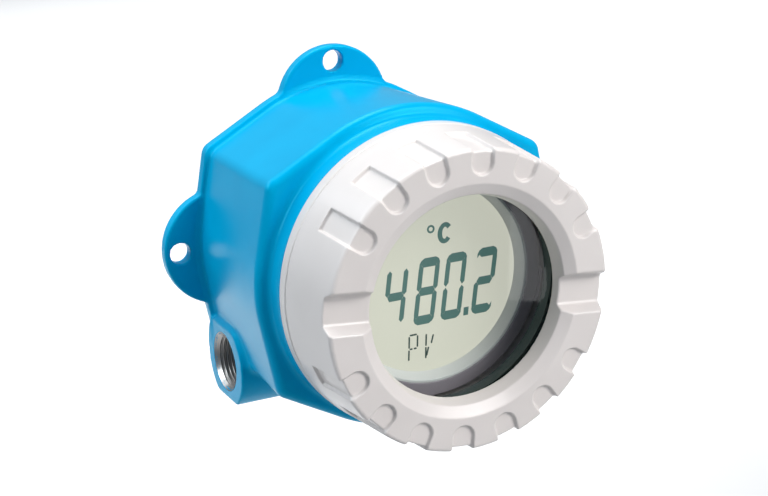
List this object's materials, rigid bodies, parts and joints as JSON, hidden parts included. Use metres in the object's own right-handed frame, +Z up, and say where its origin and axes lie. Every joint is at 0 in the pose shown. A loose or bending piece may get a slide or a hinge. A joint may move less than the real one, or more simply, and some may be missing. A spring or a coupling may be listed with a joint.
{
  "type": "temperature transmitter",
  "caption": "Wall-mounted field transmitter: cast housing with cable entries, screwed cover with a glass window over a plug-on display, electronics module and terminals inside.",
  "frame": {"origin": "the point where the cover's axis meets the wall plane, on the housing's back face", "axes": "-Y out of the wall along the cover's axis, +Z up, +X to the right seen from the front"},
  "size_m": [0.142, 0.1106, 0.142],
  "materials": {
    "blue_enamel": "glossy powder coat",
    "pale_enamel": "satin powder coat",
    "window_glass": "polished",
    "black_rubber": "matt",
    "black_ring": "black anodised",
    "frame_plastic": "fine satin",
    "lcd": "polarised glass, greenish beige",
    "white_plastic": "matt",
    "circuit_board": "solder resist",
    "component_black": "moulded",
    "grey_plastic": "fine texture",
    "resin": "cast",
    "plated_steel": "bright zinc",
    "brass_contact": "bright",
    "green_terminal": "moulded",
    "orange_terminal": "moulded",
    "red_plastic": "moulded"
  },
  "bodies": {
    "housing": {"housing": "blue_enamel", "display_socket": "component_black", "module_case": "grey_plastic", "potting_block": "resin", "main_board": "circuit_board", "board_components": "component_black", "module_lid": "white_plastic", "module_screws": "plated_steel", "sensor_terminal_block": "green_terminal", "supply_terminal_block": "orange_terminal", "terminal_contacts": "brass_contact", "dip_switch_body": "red_plastic"},
    "cover_seal": {"cover_seal": "black_rubber"},
    "cover": {"cover": "pale_enamel", "window_gasket": "black_rubber", "window_glass": "window_glass", "retaining_ring": "black_ring"},
    "display": {"display_frame": "frame_plastic", "display_tabs": "frame_plastic", "lcd_glass": "lcd", "lcd_reflector": "white_plastic", "zebra_strips": "black_rubber", "display_board": "circuit_board", "display_chips": "component_black", "display_back": "grey_plastic", "display_plug": "component_black"},
    "dip_slider_1": {"dip_slider_1": "white_plastic"},
    "dip_slider_2": {"dip_slider_2": "white_plastic"},
    "terminal_clamp_1": {"terminal_clamp_1": "plated_steel"},
    "terminal_screw_1": {"terminal_screw_1": "plated_steel"},
    "terminal_clamp_2": {"terminal_clamp_2": "plated_steel"},
    "terminal_screw_2": {"terminal_screw_2": "plated_steel"},
    "terminal_clamp_3": {"terminal_clamp_3": "plated_steel"},
    "terminal_screw_3": {"terminal_screw_3": "plated_steel"},
    "terminal_clamp_4": {"terminal_clamp_4": "plated_steel"},
    "terminal_screw_4": {"terminal_screw_4": "plated_steel"},
    "terminal_clamp_5": {"terminal_clamp_5": "plated_steel"},
    "terminal_screw_5": {"terminal_screw_5": "plated_steel"},
    "terminal_clamp_6": {"terminal_clamp_6": "plated_steel"},
    "terminal_screw_6": {"terminal_screw_6": "plated_steel"},
    "inner_ground_clamp": {"inner_ground_clamp": "plated_steel"},
    "inner_ground_screw": {"inner_ground_screw": "plated_steel"},
    "outer_ground_clamp": {"outer_ground_clamp": "plated_steel"},
    "outer_ground_screw": {"outer_ground_screw": "plated_steel"}
  },
  "joints": [
    {"name": "cover_lift", "type": "slide", "parent": "housing", "child": "cover_seal", "axis": [0, -1, 0], "range_m": [0, 0.00905]},
    {"name": "cover_turn", "type": "hinge", "parent": "cover_seal", "child": "cover", "pos_m": [0, -0.0755, 0], "axis": [0, -1, 0], "range_deg": [0, 1620]},
    {"name": "display_unplug", "type": "slide", "parent": "housing", "child": "display", "axis": [0, -1, 0], "range_m": [0, 0.005]},
    {"name": "dip_switch_1", "type": "slide", "parent": "housing", "child": "dip_slider_1", "axis": [0, 0, 1], "range_m": [0, 0.002]},
    {"name": "dip_switch_2", "type": "slide", "parent": "housing", "child": "dip_slider_2", "axis": [0, 0, 1], "range_m": [0, 0.002]},
    {"name": "terminal_1_lift", "type": "slide", "parent": "housing", "child": "terminal_clamp_1", "axis": [0, -1, 0], "range_m": [0, 0.0025]},
    {"name": "terminal_1_turn", "type": "hinge", "parent": "terminal_clamp_1", "child": "terminal_screw_1", "pos_m": [-0.0215, -0.064, -0.018], "axis": [0, -1, 0], "range_deg": [0, 1800.5]},
    {"name": "terminal_2_lift", "type": "slide", "parent": "housing", "child": "terminal_clamp_2", "axis": [0, -1, 0], "range_m": [0, 0.0025]},
    {"name": "terminal_2_turn", "type": "hinge", "parent": "terminal_clamp_2", "child": "terminal_screw_2", "pos_m": [-0.0135, -0.064, -0.018], "axis": [0, -1, 0], "range_deg": [0, 1800.5]},
    {"name": "terminal_3_lift", "type": "slide", "parent": "housing", "child": "terminal_clamp_3", "axis": [0, -1, 0], "range_m": [0, 0.0025]},
    {"name": "terminal_3_turn", "type": "hinge", "parent": "terminal_clamp_3", "child": "terminal_screw_3", "pos_m": [-0.0055, -0.064, -0.018], "axis": [0, -1, 0], "range_deg": [0, 1800.5]},
    {"name": "terminal_4_lift", "type": "slide", "parent": "housing", "child": "terminal_clamp_4", "axis": [0, -1, 0], "range_m": [0, 0.0025]},
    {"name": "terminal_4_turn", "type": "hinge", "parent": "terminal_clamp_4", "child": "terminal_screw_4", "pos_m": [0.0025, -0.064, -0.018], "axis": [0, -1, 0], "range_deg": [0, 1800.5]},
    {"name": "terminal_5_lift", "type": "slide", "parent": "housing", "child": "terminal_clamp_5", "axis": [0, -1, 0], "range_m": [0, 0.0025]},
    {"name": "terminal_5_turn", "type": "hinge", "parent": "terminal_clamp_5", "child": "terminal_screw_5", "pos_m": [0.0135, -0.064, -0.018], "axis": [0, -1, 0], "range_deg": [0, 1800.5]},
    {"name": "terminal_6_lift", "type": "slide", "parent": "housing", "child": "terminal_clamp_6", "axis": [0, -1, 0], "range_m": [0, 0.0025]},
    {"name": "terminal_6_turn", "type": "hinge", "parent": "terminal_clamp_6", "child": "terminal_screw_6", "pos_m": [0.0215, -0.064, -0.018], "axis": [0, -1, 0], "range_deg": [0, 1800.5]},
    {"name": "inner_ground_lift", "type": "slide", "parent": "housing", "child": "inner_ground_clamp", "axis": [0, -1, 0], "range_m": [0, 0.002]},
    {"name": "inner_ground_turn", "type": "hinge", "parent": "inner_ground_clamp", "child": "inner_ground_screw", "pos_m": [0, -0.0136, -0.0405], "axis": [0, -1, 0], "range_deg": [0, 1440.5]},
    {"name": "outer_ground_lift", "type": "slide", "parent": "housing", "child": "outer_ground_clamp", "axis": [1, 0, 0], "range_m": [0, 0.0025]},
    {"name": "outer_ground_turn", "type": "hinge", "parent": "outer_ground_clamp", "child": "outer_ground_screw", "pos_m": [0.0629, -0.04, 0], "axis": [1, 0, 0], "range_deg": [0, 1800.5]}
  ],
  "couplings": [
    {"joint": "cover_lift", "follows": "cover_turn", "m_per_rad": 0.00031831},
    {"joint": "terminal_1_turn", "follows": "terminal_1_lift", "rad_per_m": 12566},
    {"joint": "terminal_2_turn", "follows": "terminal_2_lift", "rad_per_m": 12566},
    {"joint": "terminal_3_turn", "follows": "terminal_3_lift", "rad_per_m": 12566},
    {"joint": "terminal_4_turn", "follows": "terminal_4_lift", "rad_per_m": 12566},
    {"joint": "terminal_5_turn", "follows": "terminal_5_lift", "rad_per_m": 12566},
    {"joint": "terminal_6_turn", "follows": "terminal_6_lift", "rad_per_m": 12566},
    {"joint": "inner_ground_turn", "follows": "inner_ground_lift", "rad_per_m": 12566},
    {"joint": "outer_ground_turn", "follows": "outer_ground_lift", "rad_per_m": 12566}
  ]
}
